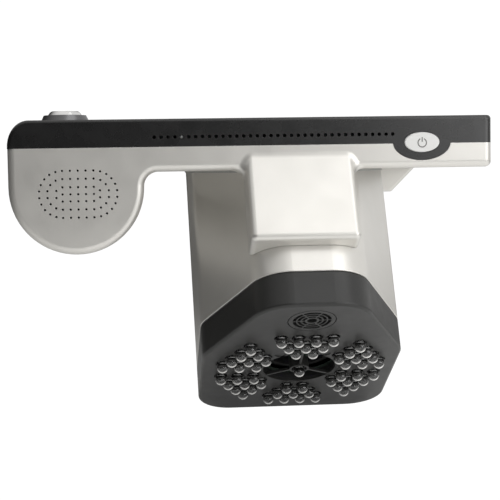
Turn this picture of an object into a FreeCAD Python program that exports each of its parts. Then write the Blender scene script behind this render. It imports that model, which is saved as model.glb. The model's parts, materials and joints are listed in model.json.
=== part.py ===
import FreeCAD, Part
import math
import os

# Handheld photorefraction scanner, in millimetres.
# Origin: centre of the display glass, on its outer face.
# +X runs along the body away from the grip, +Y away from the wall with the power button,
# +Z is the display's outward normal. The camera head hangs below and looks down and towards -Y.

Vec = FreeCAD.Vector

# ---- Driving dimensions ----
BODY_LENGTH = 206.0
BODY_DEPTH = 156.0
COVER_HEIGHT = 11.8
HOUSING_HEIGHT = 10.4
WALL = 2.4
TOP_WALL = 2.2
END_ROUND = 3.0
DISPLAY_FROM_GRIP_END = 124.8

LEFT = -DISPLAY_FROM_GRIP_END
RIGHT = LEFT + BODY_LENGTH
NEAR = -BODY_DEPTH / 2
FAR = BODY_DEPTH / 2
SEAM = -COVER_HEIGHT
UNDERSIDE = SEAM - HOUSING_HEIGHT
FLOOR = UNDERSIDE + WALL
CEILING = -TOP_WALL

# Top cover
END_CURVE_WIDE = 9.0
END_CURVE_TALL = 11.0
TOP_EDGE_ROUND = 1.5
GLASS_LENGTH = 146.0
GLASS_WIDTH = 104.0
GLASS_THICK = 1.1
GLASS_GAP = 0.15
GLASS_LEDGE = 3.0
GLASS_CORNER = 3.0

# Grip
GRIP_RADIUS = 28.3
GRIP_FILLET = 6.0
GRIP_X = LEFT + GRIP_RADIUS
GRIP_Z = UNDERSIDE - GRIP_FILLET
BOTTOM_CORNER = 2.5

# Vents in the cover's near wall
VENT_COUNT = 36
VENT_PITCH = 2.9
VENT_FIRST_X = LEFT + 61.1
VENT_Z = -7.7
VENT_RADIUS = 0.75
STATUS_LIGHT_VENT = 4
STATUS_LIGHT_RADIUS = 0.45
STATUS_LIGHT_SET_BACK = 0.8
STATUS_LIGHT_LENGTH = 3.6

# Speaker holes in the grip's near wall: a centre row inside three stadium rings
SPEAKER_X = LEFT + 29.0
SPEAKER_Z = -31.0
SPEAKER_PITCH = 3.25
SPEAKER_ROW = 5
SPEAKER_RINGS = ((2.95, 3), (6.4, 7), (9.8, 11))
SPEAKER_HOLE_RADIUS = 0.5

# Power button
POWER_X = LEFT + 175.2
POWER_Z = -11.3
EAR_A, EAR_B = 12.4, 7.6
POWER_A, POWER_B = 7.6, 4.25
POWER_PROUD = 0.7
POWER_TRAVEL = 0.8
BUTTON_GAP = 0.2

# Shutter button
SHUTTER_X = LEFT + 22.6
SHUTTER_Y = NEAR + 32.0
BEZEL_RADIUS = 10.5
BEZEL_TOP_RADIUS = 9.3
BEZEL_HEIGHT = 3.1
SLEEVE_RADIUS = 9.6
SLEEVE_DEPTH = 12.0
SHUTTER_RADIUS = 7.7
SHUTTER_TOP_RADIUS = 6.6
SHUTTER_TOP = 4.9
SHUTTER_TRAVEL = 1.0

# Camera head: its own frame has x along X, y towards the front edge, z out of the face
HEAD_TILT = 31.0
HEAD_CENTRE = Vec(0.0, NEAR + 29.2, -111.7)
HEAD_DRAFT = math.tan(math.radians(0.7))
HEAD_HALF_WIDTH = 44.3
HEAD_BACK = -51.2
HEAD_SIDE_CORNER = 16.6
HEAD_BACK_ROUND = 16.5
HEAD_SIDE_ROUND = 14.0
HEAD_FRONT_ROUND = 18.0
HEAD_FRONT = 67.2
HEAD_FRONT_HALF = 19.6
HEAD_TOP = -165.0
HOOD_WALL = 2.2
HOOD_LIP_ROUND = 0.4
CAP_HEIGHT = 15.6
FACE_PLATE = 1.6
CAP_EDGE_ROUND = 1.5
CAP_GROOVE = 0.7
GASKET_THICK = 1.0
GASKET_PROUD = 0.5
HOOD_FLANGE = 11.0
HOOD_TOP = UNDERSIDE - GASKET_THICK

# LEDs: six clusters of rows of 4, 3 and 2
LED_PITCH = 7.5
LED_ROWS = ((4, 34.1), (3, 27.6), (2, 21.0))
LED_CLUSTERS = 6
LED_RADIUS = 2.5
LED_RIM_RADIUS = 2.9
LED_RIM_THICK = 1.0
LED_DOME_Z = 1.9
LED_BODY = 6.1
LED_BASE = LED_DOME_Z - LED_BODY
LED_HOLE_RADIUS = 3.05
LED_BOARD_RADIUS = 40.8
LED_BOARD_THICK = 1.6
OPENING_RADIUS = 16.4
HUB_RADIUS = 4.4
HUB_BORE = 3.5
HUB_PROUD = 0.6
SPOKE_WIDTH = 1.0
SPOKE_BACK = -1.2
BAFFLE_RADIUS = 17.3
GRILLE_Y = 52.0
GRILLE_RADIUS = 10.3
GRILLE_SLOTS = ((7.45, 0.7), (5.55, 0.65), (3.65, 0.6))
GRILLE_CENTRE = 2.1
GRILLE_BAR = 0.6
GRILLE_TURN = 5.0
PLUG_X, PLUG_Y = 10.0, 16.0
PLUG_RADIUS = 2.6

# Optics behind the face, heights in the head's frame
BULKHEAD_BACK = -18.8
BULKHEAD_FRONT = -16.8
BULKHEAD_BORE = 33.0
PLATE_FRONT = -15.0
PLATE_THICK = 1.6
BARREL_RADIUS = 15.6
BARREL_FRONT = -7.0
BARREL_BACK = -56.0

# Front block, which carries the housing down over the hood's front flat
BLOCK_X = -2.2
BLOCK_HALF_WIDTH = 22.9
BLOCK_ROOT_ROUND = 5.0
BLOCK_FACE = 74.3
BLOCK_END = -27.2
BLOCK_TOP = -90.0
BLOCK_ROUND = 2.5
BLOCK_WALL = 2.2
BLOCK_GAP = 0.25

# Port bay, right of the hood and open to the inside of the housing
BAY_LEFT = 46.9
BAY_RIGHT = 70.0
BAY_NEAR = 22.0
BAY_DEPTH = 12.2

# Sockets, battery door and tripod insert in the far wall
TRIPOD_RADIUS = 4.2
TRIPOD_BORE = 2.6
TRIPOD_LENGTH = 8.0
TRIPOD_INNER = FAR - 9.5
TRIPOD_Z = -16.5
DC_X, DC_Z = 53.5, -22.0
USB_X, USB_Z = 38.0, -15.0
PORT_BOARD_TOP = -16.6
DOOR_LONG, DOOR_TALL = 48.0, 24.0
DOOR_THICK = 1.3
DOOR_Z = -31.0
DOOR_SCREW = 21.6

# Screws
SCREW_SHANK = 1.25
SCREW_HOLE = 1.4
SCREW_PILOT = 1.3
SCREW_HEAD = 2.3
HEAD_RECESS = 2.7
HOUSING_BOSSES = ((76, -71), (76, 0), (76, 71), (34, -71), (-57, -71), (-57, 71), (24, 73), (-24, 73))
HOOD_BOSSES = ((-39, 50), (39, 50), (-39, 5), (39, 5), (-10, -63.6), (10, -63.6))
CAP_BOSSES = ((-34, -41), (34, -41), (-21.5, 44), (21.5, 44))
FRAME_BOSSES = ((-66, -60), (66, -60), (-66, 60), (66, 60))
BOARD_POSTS = ((-44, -54), (44, -54), (-44, 54), (44, 54))
HOUSING_BOSS_RADIUS = 4.2
POST_RADIUS = 3.0
SLIM_POST_RADIUS = 2.6
HOUSING_SCREW_SEAT = -17.5

# Inside
FRAME_TOP = -5.5
FRAME_THICK = 1.0
BOARD_TOP = -10.5
BOARD_THICK = 1.6
LCD_LENGTH, LCD_WIDTH = 136.0, 92.0


# ---- Shape helpers ----
def box(x0, x1, y0, y1, z0, z1):
    return Part.makeBox(x1 - x0, y1 - y0, z1 - z0, Vec(x0, y0, z0))


def rod(radius, start, end):
    """Cylinder from one point to another."""
    axis = Vec(*end) - Vec(*start)
    return Part.makeCylinder(radius, axis.Length, Vec(*start), axis)


def fuse(shapes):
    joined = shapes[0]
    if len(shapes) > 1:
        joined = joined.fuse(shapes[1:])
    return joined.removeSplitter()


def cut(shape, tools):
    return shape.cut(tools)


def ellipse_rod(a, b, x, z, y0, y1):
    """Elliptic cylinder along Y, longer axis along X."""
    ellipse = Part.Ellipse(Vec(x + a, y0, z), Vec(x, y0, z + b), Vec(x, y0, z))
    face = Part.Face(Part.Wire(ellipse.toShape()))
    return face.extrude(Vec(0, y1 - y0, 0))


def rounded_wire(corners, radii, z):
    """Closed outline in the plane at height z, each corner rounded to its own radius."""
    count = len(corners)
    stretches = []
    for i in range(count):
        corner = Vec(corners[i][0], corners[i][1], z)
        before = (Vec(*corners[i - 1], z) - corner).normalize()
        after = (Vec(*corners[(i + 1) % count], z) - corner).normalize()
        half = before.getAngle(after) / 2
        reach = radii[i] / math.tan(half)
        middle = corner + (before + after).normalize() * (radii[i] / math.sin(half) - radii[i])
        stretches.append((corner + before * reach, middle, corner + after * reach))
    edges = []
    for i in range(count):
        start, middle, end = stretches[i]
        edges.append(Part.Arc(start, middle, end).toShape())
        edges.append(Part.LineSegment(end, stretches[(i + 1) % count][0]).toShape())
    return Part.Wire(edges)


def rounded_plate(length, width, radius, z0, z1, x=0.0, y=0.0):
    a, b = length / 2, width / 2
    corners = [(x - a, y - b), (x + a, y - b), (x + a, y + b), (x - a, y + b)]
    return Part.Face(rounded_wire(corners, [radius] * 4, z0)).extrude(Vec(0, 0, z1 - z0))


def stadium_rod(length, width, x, z, y0, y1):
    """Stadium prism along Y, its straight sides along X."""
    plate = rounded_plate(length, width, width / 2 - 0.01, 0, y1 - y0)
    plate.Placement = FreeCAD.Placement(Vec(x, y0, z), FreeCAD.Rotation(Vec(1, 0, 0), -90))
    return plate


def revolved(points):
    """Solid of revolution about Z from (radius, height) points."""
    wire = Part.makePolygon([Vec(r, 0, z) for r, z in points] + [Vec(points[0][0], 0, points[0][1])])
    return Part.Face(wire).revolve(Vec(0, 0, 0), Vec(0, 0, 1), 360)


def moved(shape, x, y, z):
    copy = shape.copy()
    copy.translate(Vec(x, y, z))
    return copy


def screw(length, head_height=1.6):
    """Pan-head screw hanging down from z = 0, its head above."""
    head = Part.makeCylinder(SCREW_HEAD, head_height)
    edges = [e for e in head.Edges if e.BoundBox.ZMin > head_height - 0.01 and e.BoundBox.ZLength < 0.01]
    head = head.makeFillet(0.5, edges)
    shank = Part.makeCylinder(SCREW_SHANK, length + 0.2, Vec(0, 0, -length))
    slot = [box(-1.3, 1.3, -0.25, 0.25, head_height - 0.7, head_height + 1)]
    slot.append(box(-0.25, 0.25, -1.3, 1.3, head_height - 0.7, head_height + 1))
    return cut(fuse([head, shank]), slot)


def turned_over(shape):
    copy = shape.copy()
    copy.rotate(Vec(0, 0, 0), Vec(1, 0, 0), 180)
    return copy


def to_head(shape):
    """Carry a shape from the head's own frame into the part's frame."""
    copy = shape.copy()
    place = FreeCAD.Placement(HEAD_CENTRE, FreeCAD.Rotation(Vec(1, 0, 0), 180 - HEAD_TILT))
    copy.Placement = place.multiply(copy.Placement)
    return copy


def head_outline(inset, z):
    """The head's six-sided outline at height z of its own frame; it widens upwards by the draft."""
    grow = -inset - HEAD_DRAFT * z
    corners = [(-HEAD_HALF_WIDTH, HEAD_BACK), (HEAD_HALF_WIDTH, HEAD_BACK),
               (HEAD_HALF_WIDTH, HEAD_SIDE_CORNER), (HEAD_FRONT_HALF, HEAD_FRONT),
               (-HEAD_FRONT_HALF, HEAD_FRONT), (-HEAD_HALF_WIDTH, HEAD_SIDE_CORNER)]
    radii = [HEAD_BACK_ROUND] * 2 + [HEAD_SIDE_ROUND] + [HEAD_FRONT_ROUND] * 2 + [HEAD_SIDE_ROUND]
    shifted = []
    for i in range(6):
        here = Vec(*corners[i], 0)
        into = (here - Vec(*corners[i - 1], 0)).normalize()
        out = (Vec(*corners[(i + 1) % 6], 0) - here).normalize()
        normal_in = Vec(into.y, -into.x, 0)
        normal_out = Vec(out.y, -out.x, 0)
        push = (normal_in + normal_out) * (grow / (1 + normal_in.dot(normal_out)))
        shifted.append((here.x + push.x, here.y + push.y))
    return rounded_wire(shifted, [max(r + grow, 1.0) for r in radii], z)


def head_prism(inset, z0, z1):
    return Part.makeLoft([head_outline(inset, z0), head_outline(inset, z1)], True, True)


# ---- Housing ----
def housing_profile(inset, top):
    """Outline of the slab and the grip across their length, at Y = 0."""
    left = LEFT + inset
    right = RIGHT - inset
    under = UNDERSIDE + inset
    radius = GRIP_RADIUS - inset
    fillet = GRIP_FILLET + inset
    corner = max(BOTTOM_CORNER - inset, 0.5)
    root = GRIP_X + radius + fillet
    slant = math.sqrt(0.5)
    points = {
        "left_top": Vec(left, 0, top),
        "left_low": Vec(left, 0, GRIP_Z),
        "grip_low": Vec(GRIP_X, 0, GRIP_Z - radius),
        "grip_right": Vec(GRIP_X + radius, 0, GRIP_Z),
        "root_mid": Vec(root - fillet * slant, 0, GRIP_Z + fillet * slant),
        "root": Vec(root, 0, under),
        "corner_low": Vec(right - corner, 0, under),
        "corner_mid": Vec(right - corner * (1 - slant), 0, under + corner * (1 - slant)),
        "corner_high": Vec(right, 0, under + corner),
        "right_top": Vec(right, 0, top)}
    p = points
    edges = [
        Part.LineSegment(p["left_top"], p["left_low"]),
        Part.Arc(p["left_low"], p["grip_low"], p["grip_right"]),
        Part.Arc(p["grip_right"], p["root_mid"], p["root"]),
        Part.LineSegment(p["root"], p["corner_low"]),
        Part.Arc(p["corner_low"], p["corner_mid"], p["corner_high"]),
        Part.LineSegment(p["corner_high"], p["right_top"]),
        Part.LineSegment(p["right_top"], p["left_top"])]
    return Part.Wire([e.toShape() for e in edges])


def along_depth(wire, y0, y1):
    face = Part.Face(wire)
    face.translate(Vec(0, y0, 0))
    return face.extrude(Vec(0, y1 - y0, 0))


def end_edges(solid, skip_height):
    """Edges of the two end faces, apart from those at the given height."""
    chosen = []
    for edge in solid.Edges:
        limits = edge.BoundBox
        on_end = limits.YLength < 0.01 and min(abs(limits.YMin - NEAR), abs(limits.YMin - FAR)) < 0.01
        flat_at_height = limits.ZLength < 0.01 and abs(limits.ZMin - skip_height) < 0.01
        if on_end and not flat_at_height:
            chosen.append(edge)
    return chosen


def front_block():
    block = box(BLOCK_X - BLOCK_HALF_WIDTH, BLOCK_X + BLOCK_HALF_WIDTH, 50, BLOCK_FACE, BLOCK_TOP, BLOCK_END)
    rounded = []
    for edge in block.Edges:
        limits = edge.BoundBox
        at_face = abs(limits.YMin - BLOCK_FACE) < 0.01
        at_end = limits.ZMin > BLOCK_END - 0.01
        upright = limits.ZLength > 1
        if (at_face and (upright or at_end)) or (at_end and limits.YLength > 1):
            rounded.append(edge)
    block = block.makeFillet(BLOCK_ROUND, rounded)
    above = box(-60, 60, NEAR - 60, FAR, SEAM - 1, 40)
    return cut(to_head(block), [above])


def blended_block(body):
    """The slab with its front block, a concave round where they meet, and room for the hood."""
    joined = body.fuse(front_block())
    meeting = []
    for edge in joined.Edges:
        limits = edge.BoundBox
        near_block = max(abs(limits.XMin - BLOCK_X), abs(limits.XMax - BLOCK_X)) < BLOCK_HALF_WIDTH + 0.1
        on_wall = abs(limits.YMin - NEAR) < 0.01 and abs(limits.YMax - NEAR) < 0.01
        on_underside = abs(limits.ZMin - UNDERSIDE) < 0.01 and abs(limits.ZMax - UNDERSIDE) < 0.01
        between = limits.ZMin > UNDERSIDE - 0.01 and limits.YMin > NEAR - 0.01 and limits.ZMax < SEAM - 3
        if near_block and (on_wall or on_underside or between):
            meeting.append(edge)
    joined = joined.makeFillet(BLOCK_ROOT_ROUND, meeting)
    hood_space = to_head(head_prism(-BLOCK_GAP, HEAD_TOP, 0))
    return cut(joined, [hood_space.common(box(-100, 100, -300, 300, -300, UNDERSIDE))])


def block_pocket():
    """Hollow behind the front block, open towards the hood."""
    inner = BLOCK_HALF_WIDTH - BLOCK_WALL
    face = BLOCK_FACE - BLOCK_WALL
    pocket = box(BLOCK_X - inner, BLOCK_X + inner, 45, face, BLOCK_TOP, BLOCK_END - BLOCK_WALL)
    return cut(to_head(pocket), [box(-60, 60, NEAR - 60, FAR, UNDERSIDE, 40)])


def bay_profile(inset):
    low = UNDERSIDE - BAY_DEPTH + inset
    left = BAY_LEFT + inset
    right = BAY_RIGHT - inset * math.sqrt(2)
    slope_end = right - (BAY_DEPTH - inset)
    top = FLOOR + 0.1
    points = [Vec(left, 0, top), Vec(left, 0, low), Vec(slope_end, 0, low), Vec(right, 0, UNDERSIDE),
              Vec(right, 0, top)]
    return Part.makePolygon(points + points[:1])


def port_bay():
    bay = along_depth(bay_profile(0), BAY_NEAR, FAR)
    low = UNDERSIDE - BAY_DEPTH
    edges = []
    for edge in bay.Edges:
        limits = edge.BoundBox
        at_low_edge = limits.ZMax < low + 0.01
        on_slope_end = limits.YLength < 0.01 and limits.ZMin < low + 0.01 and limits.XLength > 5
        if at_low_edge or on_slope_end:
            edges.append(edge)
    return bay.makeFillet(1.5, edges)


def grip_speaker_holes():
    """Hole centres: a centre row, then three stadium rings round it."""
    half = (SPEAKER_ROW - 1) / 2 * SPEAKER_PITCH
    row = [-half + i * SPEAKER_PITCH for i in range(SPEAKER_ROW)]
    centres = [(x, 0.0) for x in row]
    for radius, gaps in SPEAKER_RINGS:
        for side in (-1, 1):
            centres += [(x, side * radius) for x in row]
            for k in range(1, gaps):
                turn = math.pi * k / gaps
                centres.append((side * (half + radius * math.sin(turn)), radius * math.cos(turn)))
    return centres


def housing_boss(x, y):
    return rod(HOUSING_BOSS_RADIUS, (x, y, UNDERSIDE), (x, y, SEAM))


def rear_housing():
    body = along_depth(housing_profile(0, SEAM), NEAR, FAR)
    body = body.makeFillet(END_ROUND, end_edges(body, SEAM))
    cavity = along_depth(housing_profile(WALL, SEAM + 5), NEAR + WALL, FAR - WALL)
    bay_cavity = along_depth(bay_profile(WALL), BAY_NEAR + WALL, FAR - WALL)
    solid = blended_block(body)
    shell = cut(fuse([solid, port_bay()]), [cavity, bay_cavity])
    posts = [housing_boss(x, y) for x, y in HOUSING_BOSSES]
    posts.append(box(-7, 7, TRIPOD_INNER - 1.5, FAR - WALL, FLOOR, SEAM - 0.1))
    for side in (-1, 1):
        x = GRIP_X + side * DOOR_SCREW
        posts.append(rod(SLIM_POST_RADIUS, (x, FAR - 7.5, DOOR_Z), (x, FAR - WALL + 0.2, DOOR_Z)))
    shell = fuse([shell] + [p.common(body) for p in posts])
    holes = [block_pocket()]
    for x, y in HOUSING_BOSSES:
        holes.append(rod(HEAD_RECESS, (x, y, UNDERSIDE - 1), (x, y, HOUSING_SCREW_SEAT)))
        holes.append(rod(SCREW_HOLE, (x, y, HOUSING_SCREW_SEAT - 0.5), (x, y, SEAM + 1)))
    for x, y in HOOD_BOSSES:
        holes.append(rod(SCREW_HOLE, (x, y, UNDERSIDE - 0.5), (x, y, FLOOR + 0.5)))
    holes.append(to_head(head_prism(HOOD_FLANGE, HEAD_TOP, -40)).common(box(-60, 60, NEAR, FAR, -30, SEAM)))
    holes.append(ellipse_rod(EAR_A + 0.15, EAR_B + 0.15, POWER_X, POWER_Z, NEAR - 1, NEAR + WALL + 0.05))
    for x, z in grip_speaker_holes():
        start = (SPEAKER_X + x, NEAR - 1, SPEAKER_Z + z)
        holes.append(rod(SPEAKER_HOLE_RADIUS, start, (start[0], NEAR + WALL + 1, start[2])))
    holes.append(rod(TRIPOD_RADIUS, (0, TRIPOD_INNER, TRIPOD_Z), (0, FAR + 1, TRIPOD_Z)))
    holes.append(rod(4.2, (DC_X, FAR - WALL - 1, DC_Z), (DC_X, FAR + 1, DC_Z)))
    holes.append(stadium_rod(9.4, 3.6, USB_X, USB_Z, FAR - WALL - 1, FAR + 1))
    holes.append(stadium_rod(DOOR_LONG, DOOR_TALL, GRIP_X, DOOR_Z, FAR - DOOR_THICK - 0.1, FAR + 1))
    holes.append(stadium_rod(38.6, 20.0, GRIP_X, DOOR_Z, FAR - WALL - 1, FAR + 1))
    for side in (-1, 1):
        x = GRIP_X + side * DOOR_SCREW
        holes.append(rod(1.05, (x, FAR - 7, DOOR_Z), (x, FAR, DOOR_Z)))
    return cut(shell, holes)


def curved_end(inset_side, inset_top, low, y0, y1):
    """Solid of the cover's left end, its top corner a quarter ellipse, down to the height low."""
    wide = END_CURVE_WIDE - inset_side
    tall = END_CURVE_TALL - inset_top
    centre = Vec(LEFT + END_CURVE_WIDE, 0, -END_CURVE_TALL)
    ellipse = Part.Ellipse(centre + Vec(0, 0, tall), centre + Vec(-wide, 0, 0), centre)
    curve = Part.ArcOfEllipse(ellipse, 0, math.pi / 2)
    inner_x = centre.x + 1.0
    points = [curve.value(math.pi / 2), Vec(centre.x - wide, 0, low), Vec(inner_x, 0, low),
              Vec(inner_x, 0, -inset_top), curve.value(0)]
    edges = [curve.toShape()]
    for first, second in zip(points, points[1:]):
        edges.append(Part.LineSegment(first, second).toShape())
    return along_depth(Part.Wire(Part.__sortEdges__(edges)), y0, y1)


def cover_body():
    """The cover's outside: a slab with two rounded upright corners and a curved left end."""
    left = LEFT + END_CURVE_WIDE
    corners = [(left, NEAR), (RIGHT, NEAR), (RIGHT, FAR), (left, FAR)]
    outline = rounded_wire(corners, [0.01, END_ROUND, END_ROUND, 0.01], SEAM)
    slab = Part.Face(outline).extrude(Vec(0, 0, COVER_HEIGHT))
    body = fuse([slab, curved_end(0, 0, SEAM, NEAR, FAR)])
    near_top = []
    for edge in body.Edges:
        limits = edge.BoundBox
        if limits.YLength < 0.01 and limits.ZMin > -0.01 and limits.XLength > 50:
            near_top.append(edge)
    return body.makeFillet(TOP_EDGE_ROUND, near_top)


def top_cover():
    body = cover_body()
    cavity = rounded_plate(BODY_LENGTH - 2 * WALL, BODY_DEPTH - 2 * WALL, 1.0, SEAM - 1, CEILING,
                           (LEFT + RIGHT) / 2, 0)
    inside_end = box(LEFT, LEFT + END_CURVE_WIDE, NEAR, FAR, SEAM - 1, 1)
    end_space = curved_end(WALL, TOP_WALL, SEAM - 1, NEAR + WALL, FAR - WALL)
    cavity = fuse([cut(cavity, [inside_end]), end_space])
    shell = cut(body, [cavity])
    ear = ellipse_rod(EAR_A, EAR_B, POWER_X, POWER_Z, NEAR, NEAR + WALL)
    posts = [rod(POST_RADIUS, (x, y, SEAM), (x, y, CEILING + 0.2)) for x, y in HOUSING_BOSSES]
    posts += [rod(SLIM_POST_RADIUS, (x, y, FRAME_TOP), (x, y, CEILING + 0.2)) for x, y in FRAME_BOSSES]
    shell = fuse([shell, ear] + posts)
    seat_length, seat_width = GLASS_LENGTH + 2 * GLASS_GAP, GLASS_WIDTH + 2 * GLASS_GAP
    holes = [rounded_plate(seat_length, seat_width, GLASS_CORNER + GLASS_GAP, -GLASS_THICK, 1)]
    holes.append(rounded_plate(GLASS_LENGTH - 2 * GLASS_LEDGE, GLASS_WIDTH - 2 * GLASS_LEDGE, 1.0, -3, 1))
    for x, y in HOUSING_BOSSES:
        holes.append(rod(SCREW_PILOT, (x, y, SEAM - 1), (x, y, -3.5)))
    for x, y in FRAME_BOSSES:
        holes.append(rod(SCREW_PILOT, (x, y, FRAME_TOP - 1), (x, y, -1.2)))
    for i in range(VENT_COUNT):
        x = VENT_FIRST_X + i * VENT_PITCH
        holes.append(rod(VENT_RADIUS, (x, NEAR - 1, VENT_Z), (x, NEAR + WALL + 1, VENT_Z)))
    holes.append(ellipse_rod(POWER_A + BUTTON_GAP, POWER_B + BUTTON_GAP, POWER_X, POWER_Z, NEAR - 1,
                             NEAR + WALL + 1))
    holes.append(rod(SLEEVE_RADIUS + 0.1, (SHUTTER_X, SHUTTER_Y, -6), (SHUTTER_X, SHUTTER_Y, 1)))
    return cut(shell, holes)


# ---- Sockets, door and tripod insert in the far wall ----

def tripod_insert():
    body = rod(TRIPOD_RADIUS, (0, TRIPOD_INNER, TRIPOD_Z), (0, FAR - 0.1, TRIPOD_Z))
    return cut(body, [rod(TRIPOD_BORE, (0, FAR - 0.1 - TRIPOD_LENGTH, TRIPOD_Z), (0, FAR + 1, TRIPOD_Z))])


def battery_door():
    door = stadium_rod(DOOR_LONG - 0.3, DOOR_TALL - 0.3, GRIP_X, DOOR_Z, FAR - DOOR_THICK, FAR)
    holes = []
    for side in (-1, 1):
        x = GRIP_X + side * DOOR_SCREW
        holes.append(rod(1.1, (x, FAR - 3, DOOR_Z), (x, FAR + 1, DOOR_Z)))
        holes.append(rod(1.9, (x, FAR - 0.8, DOOR_Z), (x, FAR + 1, DOOR_Z)))
    return cut(door, holes)


def battery_door_screws():
    screws = []
    for side in (-1, 1):
        x = GRIP_X + side * DOOR_SCREW
        head = rod(1.75, (x, FAR - 0.8, DOOR_Z), (x, FAR - 0.05, DOOR_Z))
        shank = rod(1.0, (x, FAR - 6.5, DOOR_Z), (x, FAR - 0.7, DOOR_Z))
        slot = box(x - 1.2, x + 1.2, FAR - 0.4, FAR + 1, DOOR_Z - 0.2, DOOR_Z + 0.2)
        screws.append(cut(fuse([head, shank]), [slot]))
    return screws


def battery_pack():
    pack = stadium_rod(37.6, 19.0, GRIP_X, DOOR_Z, 2.0, 70.0)
    tab = box(GRIP_X - 6, GRIP_X + 6, 0.5, 2.1, DOOR_Z - 3, DOOR_Z + 3)
    return fuse([pack, tab])


def dc_socket():
    back = FAR - WALL
    body = box(DC_X - 4, DC_X + 4, back - 12, back, DC_Z - 4, DC_Z + 4)
    barrel = rod(4.0, (DC_X, back - 1, DC_Z), (DC_X, FAR - 0.3, DC_Z))
    socket = cut(fuse([body, barrel]), [rod(2.75, (DC_X, FAR - 9.5, DC_Z), (DC_X, FAR + 1, DC_Z))])
    pin = rod(1.0, (DC_X, FAR - 10, DC_Z), (DC_X, FAR - 1.2, DC_Z))
    return fuse([socket, pin])


def usb_socket():
    shell = stadium_rod(8.9, 3.2, USB_X, USB_Z, FAR - 8.5, FAR - 0.4)
    shell = cut(shell, [stadium_rod(8.3, 2.6, USB_X, USB_Z, FAR - 7.0, FAR + 1)])
    tongue = box(USB_X - 3.3, USB_X + 3.3, FAR - 7.2, FAR - 1.4, USB_Z - 0.35, USB_Z + 0.35)
    return fuse([shell, tongue])


def port_board():
    return box(31.0, 58.0, 60.0, FAR - WALL - 0.2, PORT_BOARD_TOP - 1.2, PORT_BOARD_TOP)


# ---- Display and electronics ----
def display_glass():
    glass = rounded_plate(GLASS_LENGTH, GLASS_WIDTH, GLASS_CORNER, -GLASS_THICK, 0)
    top = [e for e in glass.Edges if e.BoundBox.ZMin > -0.01]
    return glass.makeFillet(0.25, top)


def lcd_module():
    return rounded_plate(LCD_LENGTH, LCD_WIDTH, 1.0, FRAME_TOP, -GLASS_THICK)


def mid_frame():
    low = FRAME_TOP - FRAME_THICK
    plate = rounded_plate(144, 134, 3.0, low, FRAME_TOP)
    posts = [rod(2.3, (x, y, BOARD_TOP), (x, y, low + 0.2)) for x, y in BOARD_POSTS]
    holes = [rod(SCREW_HOLE, (x, y, low - 1), (x, y, FRAME_TOP + 1)) for x, y in FRAME_BOSSES]
    holes += [rod(SCREW_PILOT, (x, y, BOARD_TOP - 1), (x, y, low - 0.3)) for x, y in BOARD_POSTS]
    return cut(fuse([plate] + posts), holes)


def main_board():
    low = BOARD_TOP - BOARD_THICK
    board = rounded_plate(100, 126, 2.0, low, BOARD_TOP, 0, 3)
    chips = [box(-14, 14, -6, 22, BOARD_TOP - 0.1, BOARD_TOP + 2.2)]
    chips += [box(x, x + 9, 30, 42, BOARD_TOP - 0.1, BOARD_TOP + 1.1) for x in (-26, -8, 10)]
    chips.append(box(-9, 9, -35, -31, low - 1.8, low + 0.1))
    holes = [rod(SCREW_HOLE, (x, y, low - 1), (x, y, BOARD_TOP + 1)) for x, y in BOARD_POSTS]
    return cut(fuse([board] + chips), holes)


def screws_at(places, z, length, upwards):
    """One screw per place, its head's underside at height z."""
    one = screw(length)
    if upwards:
        one = turned_over(one)
    return [moved(one, x, y, z) for x, y in places]


def grip_speaker():
    start = NEAR + WALL
    frame = rod(18.0, (SPEAKER_X, start, SPEAKER_Z), (SPEAKER_X, start + 3, SPEAKER_Z))
    cone = Part.makeCone(17.0, 11.0, 4, Vec(SPEAKER_X, start + 3, SPEAKER_Z), Vec(0, 1, 0))
    magnet = rod(10.0, (SPEAKER_X, start + 7, SPEAKER_Z), (SPEAKER_X, start + 11, SPEAKER_Z))
    mouth = rod(15.0, (SPEAKER_X, start - 1, SPEAKER_Z), (SPEAKER_X, start + 1.5, SPEAKER_Z))
    return cut(fuse([frame, cone, magnet]), [mouth])


# ---- Buttons and status light ----
def status_light():
    """Light pipe set into one of the vents."""
    x = VENT_FIRST_X + STATUS_LIGHT_VENT * VENT_PITCH
    start = NEAR + STATUS_LIGHT_SET_BACK
    return rod(STATUS_LIGHT_RADIUS, (x, start, VENT_Z), (x, start + STATUS_LIGHT_LENGTH, VENT_Z))


def power_button():
    outer = NEAR - POWER_PROUD
    body = ellipse_rod(POWER_A, POWER_B, POWER_X, POWER_Z, outer, NEAR + 3.0)
    front = [e for e in body.Edges if e.BoundBox.YMax < outer + 0.01]
    body = body.makeFillet(0.5, front)
    flange = ellipse_rod(POWER_A + 1.2, POWER_B + 1.2, POWER_X, POWER_Z, NEAR + 2.6, NEAR + 3.6)
    stem = rod(1.5, (POWER_X, NEAR + 3.4, POWER_Z), (POWER_X, NEAR + 5.0, POWER_Z))
    return cut(fuse([body, flange, stem]), power_symbol_space(outer))


def power_symbol_space(outer):
    """Shallow recess of the power sign: a ring open at the top, and a short bar."""
    ring = rod(2.05, (POWER_X, outer - 1, POWER_Z - 0.3), (POWER_X, outer + 0.3, POWER_Z - 0.3))
    hole = rod(1.6, (POWER_X, outer - 2, POWER_Z - 0.3), (POWER_X, outer + 2, POWER_Z - 0.3))
    gap = box(POWER_X - 0.8, POWER_X + 0.8, outer - 2, outer + 2, POWER_Z - 0.3, POWER_Z + 3)
    bar = box(POWER_X - 0.22, POWER_X + 0.22, outer - 1, outer + 0.3, POWER_Z + 0.1, POWER_Z + 2.1)
    return [cut(ring, [hole, gap]), bar]


def power_symbol():
    outer = NEAR - POWER_PROUD
    in_front = box(POWER_X - 9, POWER_X + 9, outer - 5, outer, POWER_Z - 9, POWER_Z + 9)
    return [cut(s, [in_front]) for s in power_symbol_space(outer)]


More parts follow.
